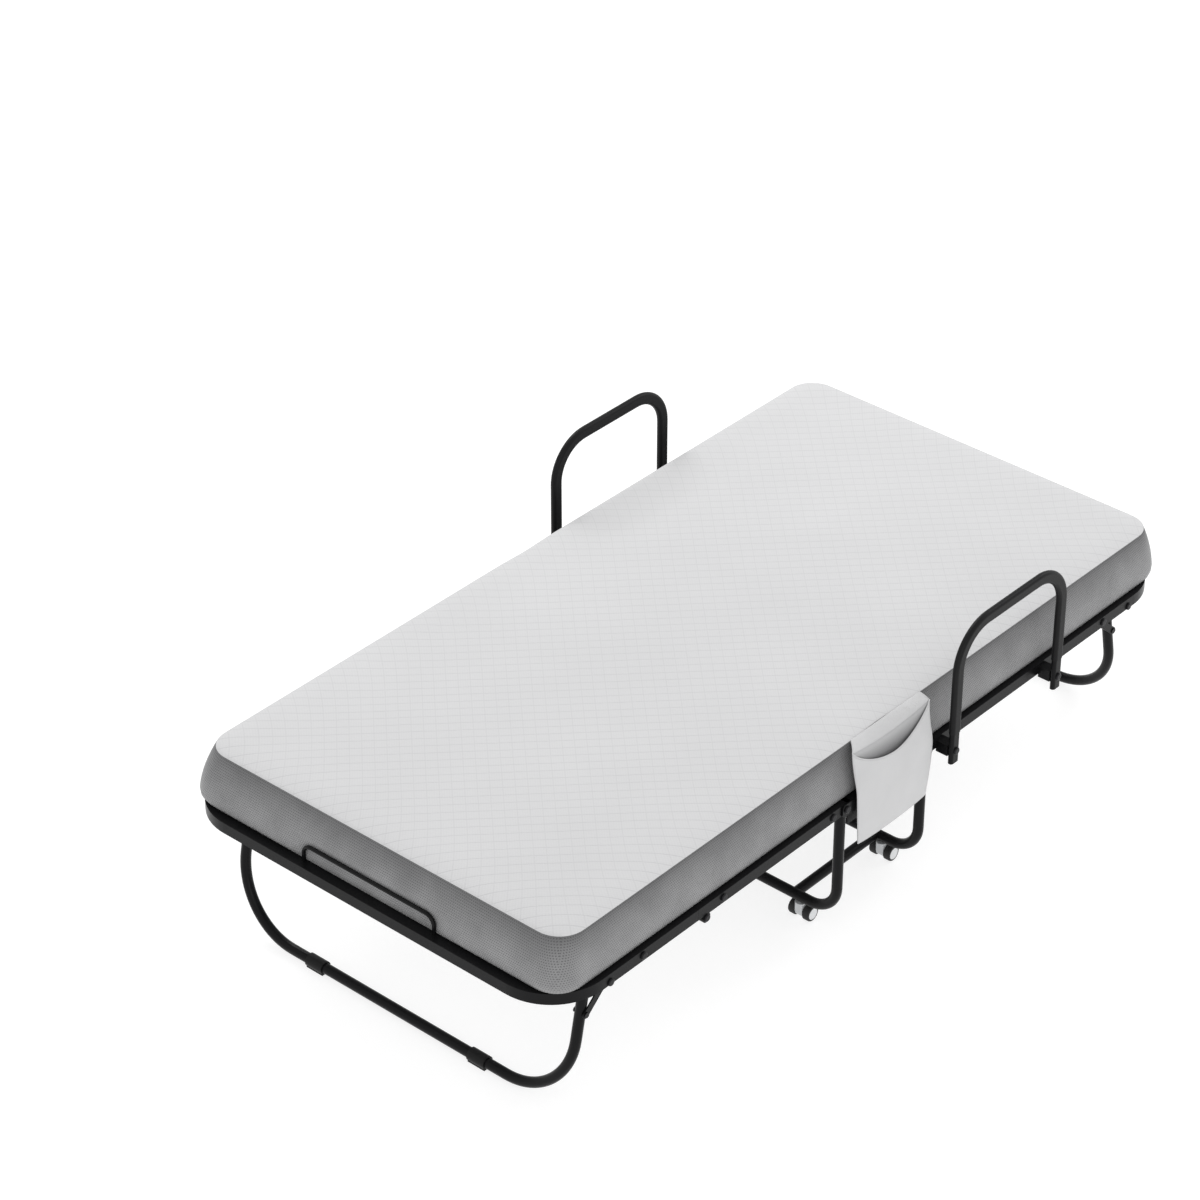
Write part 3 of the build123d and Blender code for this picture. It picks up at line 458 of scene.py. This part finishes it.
def cut_box(cuts):
    """Unit box about the origin, cut into rows along X, Y and Z."""
    bm = bmesh.new()
    bmesh.ops.create_cube(bm, size=1.0)
    for axis, count in enumerate(cuts):
        edges = []
        for edge in bm.edges:
            along = edge.verts[0].co - edge.verts[1].co
            if abs(along[axis]) > 0.5 * along.length:
                edges.append(edge)
        bmesh.ops.subdivide_edges(bm, edges=edges, cuts=count, use_grid_fill=True)
    return bm


def lay_cloth_map(bm, place_of):
    """UV map named cloth, in metres, from a function of each face corner."""
    layer = bm.loops.layers.uv.new("cloth")
    for face in bm.faces:
        for loop in face.loops:
            loop[layer].uv = place_of(loop.vert.co, face)


# ---------- mattress ----------
MATTRESS_LOW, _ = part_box("mattress_foot")
_, MATTRESS_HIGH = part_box("mattress_head")
BULGE_HALF = MATTRESS_HIGH.x - 0.001
SEAM_HALF = 0.4625
UNDER_HALF = 0.477
END_SPREAD = {"foot": 0.0155, "head": 0.002}
END_LEAN = {"foot": 1.7, "head": 0.8}
BAIL_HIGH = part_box("bail_foot")[1]
BAIL_LEG_FREE_Z = 0.352
PLAN_R = 0.058
HEIGHT_OF_BULGE = 0.2           # share of the side's height
END_CROWDING = 0.35             # share of the rows' spacing that closes up at the ends
SEAM_Z = 0.4415
CROWN_Z = 0.4482
UNDER_Z = MATTRESS_LOW.z + 0.0004
CROWN_RUN = 0.055
FOLD_TUCK = 0.0025
STRETCH_RUN = 0.16
STRETCH = 0.022


def side_half_width(height):
    """Half width of the mattress at a height, from the floor side to the top seam."""
    share = (height - UNDER_Z) / (SEAM_Z - UNDER_Z)
    share = max(0.0, min(1.0, share))
    low_round = math.sqrt(max(0.0, 1 - (1 - min(share / HEIGHT_OF_BULGE, 1.0)) ** 2))
    width = UNDER_HALF + (BULGE_HALF - UNDER_HALF) * low_round
    if share > HEIGHT_OF_BULGE:
        rise = (share - HEIGHT_OF_BULGE) / (1 - HEIGHT_OF_BULGE)
        width = BULGE_HALF - (BULGE_HALF - SEAM_HALF) * (0.35 * rise + 0.65 * rise * rise)
    return width


def bail_dent(x, height, reach):
    """How far the foot bail presses the mattress end in."""
    across = max(0.0, min(1.0, (BAIL_HIGH.x + 0.04 - abs(x)) / 0.035))
    above = max(0.0, min(1.0, (BAIL_HIGH.z + 0.02 - height) / 0.018))
    low = max(0.0, min(1.0, (BAIL_LEG_FREE_Z - height) / 0.012))
    deep = max(0.0, reach + BAIL_HIGH.y + 0.001 - 0.0028 * low)
    return deep * across * across * (3 - 2 * across) * above * above * (3 - 2 * above)


def mattress_half(name, end_y, end, side):
    """One half of the mattress, from the middle to its foot or head end."""
    bm = cut_box((46, 62, 9))
    length = abs(end_y)
    for vert in bm.verts:
        u = math.sin(math.pi * vert.co.x)
        v = 0.5 + vert.co.y
        v = math.sin(0.5 * math.pi * v) * END_CROWDING + v * (1 - END_CROWDING)
        share = vert.co.z + 0.5
        height = UNDER_Z + share * (SEAM_Z - UNDER_Z)
        half = side_half_width(height)
        trim = BULGE_HALF - half
        reach = length + END_SPREAD[end] - trim * END_LEAN[end]
        x = u * half
        if end == "foot":
            reach -= bail_dent(x, height, reach)
        y = v * reach
        over_x = abs(x) - (half - PLAN_R)
        over_y = y - (reach - PLAN_R)
        edge = min(half - abs(x), reach - y)
        if over_x > 0 and over_y > 0:
            wide = max(over_x, over_y)
            shrink = wide / math.hypot(over_x, over_y)
            x = math.copysign(half - PLAN_R + over_x * shrink, x)
            y = reach - PLAN_R + over_y * shrink
            edge = PLAN_R - wide
        tuck = FOLD_TUCK * math.exp(-(y / 0.05) ** 2) * abs(u) ** 6
        x -= math.copysign(tuck, x)
        if share > 0.999:
            rise = 1 - max(0.0, 1 - edge / CROWN_RUN) ** 2.4
            height += (CROWN_Z - SEAM_Z) * rise
            height += 0.0004 * math.sin(x * 41 + 1.3) * math.cos(y * 37) * rise
        if share < 0.001:
            height = UNDER_Z
        vert.co = Vector((x, side * y, height))
    if side < 0:
        bmesh.ops.reverse_faces(bm, faces=bm.faces)
    middle = [f for f in bm.faces if all(abs(v.co.y) < 1e-6 for v in f.verts)]
    bmesh.ops.delete(bm, geom=middle, context="FACES_ONLY")
    bm.normal_update()
    for face in bm.faces:
        low_edge = min(v.co.z for v in face.verts)
        high_edge = max(v.co.z for v in face.verts)
        if low_edge > SEAM_Z - 0.0005:
            face.material_index = 0
        elif high_edge < UNDER_Z + 0.0005:
            face.material_index = 2
        else:
            face.material_index = 1

    def cloth_place(co, face):
        if face.material_index != 1:
            near_side = max(0.0, (abs(co.x) - SEAM_HALF + STRETCH_RUN) / STRETCH_RUN)
            near_end = max(0.0, (abs(co.y) - length + STRETCH_RUN) / STRETCH_RUN)
            pull_x = math.copysign(STRETCH * near_side ** 2.5, co.x)
            pull_y = math.copysign(STRETCH * near_end ** 2.5, co.y)
            return (co.x - pull_x, co.y - pull_y)
        if abs(face.normal.x) > abs(face.normal.y):
            return (co.y, co.z)
        return (co.x, co.z)

    lay_cloth_map(bm, cloth_place)
    piece = new_piece(name, bm, [KNIT, SIDE_MESH, UNDER_CLOTH])
    return piece


def make_mattress():
    """Both halves of the mattress, foot and head, in place of the imported ones."""
    for end, end_y, side in (("foot", MATTRESS_LOW.y, -1), ("head", MATTRESS_HIGH.y, 1)):
        piece = mattress_half(f"mattress_cover_{end}", end_y, end, side)
        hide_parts(f"mattress_{end}", f"mattress_fold_{end}")
        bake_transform(piece)


# ---------- pocket ----------
BAG_LOW, BAG_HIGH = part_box("storage_pocket")
FLAP_LOW, FLAP_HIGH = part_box("pocket_flap")
CLOTH = 0.0012
MOUTH_CORNER_Z = 0.438
MOUTH_LOW_Z = 0.386
MOUTH_ENDS = (-0.113, 0.131)
BAG_TURN_Z = 0.385
BAG_UNDER_Z = BAG_LOW.z + 0.006
BAG_UNDER_Y = (-0.101, 0.116)
BAG_TURN_Y = (-0.1125, 0.1205)
HEAD_EDGE_BULGE = 0.011
HEAD_EDGE_TURNS = 0.75
TOP_SAG = 0.22
LINING_SAG = 0.20
BACK_X = BAG_LOW.x + 0.0012
FRONT_X = BAG_HIGH.x - 0.0002
LEAN_FROM_Z = 0.337
LEAN_IN = 0.013


def bag_lean(height):
    """How far the pocket leans in over the rail towards the mattress."""
    share = max(0.0, min(1.0, (height - LEAN_FROM_Z) / (MOUTH_CORNER_Z - LEAN_FROM_Z)))
    return LEAN_IN * share * share * (3 - 2 * share)


def pocket_side(height, side):
    """Y of the pocket's foot-side or head-side edge at a height."""
    share = (height - BAG_UNDER_Z) / (BAG_TURN_Z - BAG_UNDER_Z)
    low = BAG_UNDER_Y[side]
    turn = BAG_TURN_Y[side]
    bulge = HEAD_EDGE_BULGE if side else 0.0
    if share <= 1:
        return low + share * (turn - low) + bulge * math.sin(math.pi * max(share, 0) * HEAD_EDGE_TURNS)
    turn += bulge * math.sin(math.pi * HEAD_EDGE_TURNS)
    rise = min(1.0, (height - BAG_TURN_Z) / (MOUTH_CORNER_Z - BAG_TURN_Z))
    return turn + rise * (MOUTH_ENDS[side] - turn)


def mouth_height(across):
    """Height of the pocket's mouth, across from 0 at the foot side to 1 at the head side."""
    sag = math.sin(math.pi * across) ** 0.72
    return MOUTH_CORNER_Z - (MOUTH_CORNER_Z - MOUTH_LOW_Z) * sag


def grid_sheet(name, rows, columns, place, material, thick=CLOTH):
    """Sheet of cloth from a unit grid laid out by a function of its two coordinates."""
    bm = bmesh.new()
    bmesh.ops.create_grid(bm, x_segments=columns, y_segments=rows, size=0.5)
    layer = bm.loops.layers.uv.new("cloth")
    spans = {vert: (vert.co.x + 0.5, vert.co.y + 0.5) for vert in bm.verts}
    for face in bm.faces:
        for loop in face.loops:
            across, up = spans[loop.vert]
            loop[layer].uv = (across * 0.23, up * 0.22)
    for vert, (across, up) in spans.items():
        vert.co = Vector(place(across, up))
    bmesh.ops.recalc_face_normals(bm, faces=bm.faces)
    piece = new_piece(name, bm, [material])
    wall = piece.modifiers.new("thickness", "SOLIDIFY")
    wall.thickness = thick
    wall.offset = 0.0
    return piece


def make_pocket():
    """Top sheet from the mattress edge, grey lining behind the mouth and the bulging front."""
    def front_place(across, up):
        top = mouth_height(across)
        height = BAG_UNDER_Z + up * (top - BAG_UNDER_Z)
        y0, y1 = pocket_side(height, 0), pocket_side(height, 1)
        belly = math.sin(math.pi * across) ** 0.6 * math.sin(math.pi * min(1.0, up * 0.75 + 0.12)) ** 0.6
        wrinkle = 0.0006 * math.sin(across * 17 + up * 5) * up
        x = BACK_X + 0.0012 + (FRONT_X - BACK_X - 0.0016) * belly + wrinkle * belly - bag_lean(height)
        return (x, y0 + across * (y1 - y0), height)

    def lining_place(across, up):
        top = MOUTH_CORNER_Z - (MOUTH_CORNER_Z - mouth_height(across)) * LINING_SAG
        height = BAG_UNDER_Z + up * (top - BAG_UNDER_Z)
        y0, y1 = pocket_side(height, 0) + 0.0008, pocket_side(height, 1) - 0.0008
        return (BACK_X - bag_lean(height), y0 + across * (y1 - y0), height)

    def top_place(across, up):
        top = MOUTH_CORNER_Z - (MOUTH_CORNER_Z - mouth_height(across)) * TOP_SAG
        y_low = pocket_side(top, 0) + across * (pocket_side(top, 1) - pocket_side(top, 0))
        y_high = FLAP_LOW.y + 0.016 + across * (FLAP_HIGH.y - FLAP_LOW.y - 0.022)
        ease = up ** 1.2
        hang_x = BACK_X - bag_lean(top)
        x = hang_x + (SEAM_HALF + 0.001 - hang_x) * ease
        z = top + (SEAM_Z + 0.0025 - top) * (1 - (1 - up) ** 1.5)
        return (x, y_low + (y_high - y_low) * up, z)

    front = grid_sheet("pocket_front", 40, 44, front_place, POCKET_CLOTH)
    lining = grid_sheet("pocket_lining", 24, 30, lining_place, LINING_CLOTH, 0.0008)
    top = grid_sheet("pocket_top", 16, 40, top_place, POCKET_CLOTH, 0.001)
    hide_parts("storage_pocket")
    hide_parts("pocket_flap")
    for piece in (front, lining, top):
        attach(piece, "base")
    hem = make_hem(front_place)
    for piece in (front, lining, top, hem):
        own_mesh(piece)


def tube_through(name, points, radius, material, sides=10):
    """Round tube along points, as a mesh."""
    curve = bpy.data.curves.new(name, "CURVE")
    curve.dimensions = "3D"
    curve.bevel_depth = radius
    curve.bevel_resolution = sides // 4
    spline = curve.splines.new("NURBS")
    spline.points.add(len(points) - 1)
    for point, place in zip(spline.points, points):
        point.co = (*place, 1.0)
    spline.order_u = 4
    spline.use_endpoint_u = True
    curve.resolution_u = 6
    curve.use_fill_caps = True
    maker = bpy.data.objects.new(name + "_maker", curve)
    bpy.context.scene.collection.objects.link(maker)
    mesh = bpy.data.meshes.new_from_object(maker)
    bpy.data.objects.remove(maker)
    bm = bmesh.new()
    bm.from_mesh(mesh)
    bmesh.ops.remove_doubles(bm, verts=bm.verts, dist=1e-6)
    lay_cloth_map(bm, lambda co, face: (co.y, co.z + co.x))
    return new_piece(name, bm, [material])


def make_hem(front_place):
    """Bound edge round the front panel's mouth."""
    count = 25
    points = [front_place(i / (count - 1), 1.0) for i in range(count)]
    hem = tube_through("pocket_hem", points, 0.0013, POCKET_CLOTH)
    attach(hem, "base")
    return hem


# ---------- casters ----------
def lathe(name, profile, centre, material, steps=40):
    """Turned piece about an axis along X, from (offset along X, radius) points."""
    bm = bmesh.new()
    verts = [bm.verts.new((centre.x + along, centre.y + radius, centre.z)) for along, radius in profile]
    edges = [bm.edges.new(pair) for pair in zip(verts, verts[1:])]
    bmesh.ops.spin(bm, geom=verts + edges, cent=centre, axis=(1, 0, 0), angle=2 * math.pi,
                   steps=steps, use_merge=True)
    bmesh.ops.remove_doubles(bm, verts=bm.verts, dist=1e-6)
    bmesh.ops.recalc_face_normals(bm, faces=bm.faces)
    piece = new_piece(name, bm, [material])
    round_off = piece.modifiers.new("edges", "BEVEL")
    round_off.width = 0.0003
    round_off.segments = 2
    round_off.limit_method = "ANGLE"
    return piece


WHEEL_WIDTH = 0.017
RIM_DEPTH = 0.0045
BORE_R = 0.0032


def make_casters():
    """Black treads and pale hub discs on each pair of wheels."""
    for corner in ("foot_left", "foot_right", "head_left", "head_right"):
        low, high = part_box(f"caster_wheels_{corner}")
        centre = (low + high) / 2
        radius = (high.z - low.z) / 2
        half_span = (high.x - low.x) / 2
        pieces = []
        for side, label in ((-1, "outer_a"), (1, "outer_b")):
            near = side * (half_span - WHEEL_WIDTH)
            far = side * half_span
            inner = radius - RIM_DEPTH
            tread = [(near, BORE_R), (near, inner), (near + side * 0.0006, radius - 0.0012),
                     (near + side * 0.002, radius), (far - side * 0.0035, radius),
                     (far - side * 0.0012, radius - 0.001), (far - side * 0.0004, inner),
                     (far - side * 0.002, inner), (far - side * 0.002, BORE_R), (near, BORE_R)]
            pieces.append(lathe(f"tread_{corner}_{label}", tread, centre, TREAD_RUBBER))
            disc = [(far - side * 0.0021, 0.0), (far - side * 0.0021, inner - 0.0002),
                    (far - side * 0.0006, inner - 0.0002), (far - side * 0.0001, inner - 0.0012),
                    (far - side * 0.0008, inner - 0.003), (far - side * 0.0012, inner - 0.0045),
                    (far - side * 0.0004, 0.0045), (far - side * 0.0001, 0.003), (far, 0.0)]
            pieces.append(lathe(f"hub_{corner}_{label}", disc, centre, HUB_WHITE))
        for piece in pieces:
            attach(piece, f"caster_wheel_pair_{corner}")
        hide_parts(f"caster_wheels_{corner}")


set_view()
set_light()
set_floor()
finish_frame()
make_mattress()
make_pocket()
make_casters()
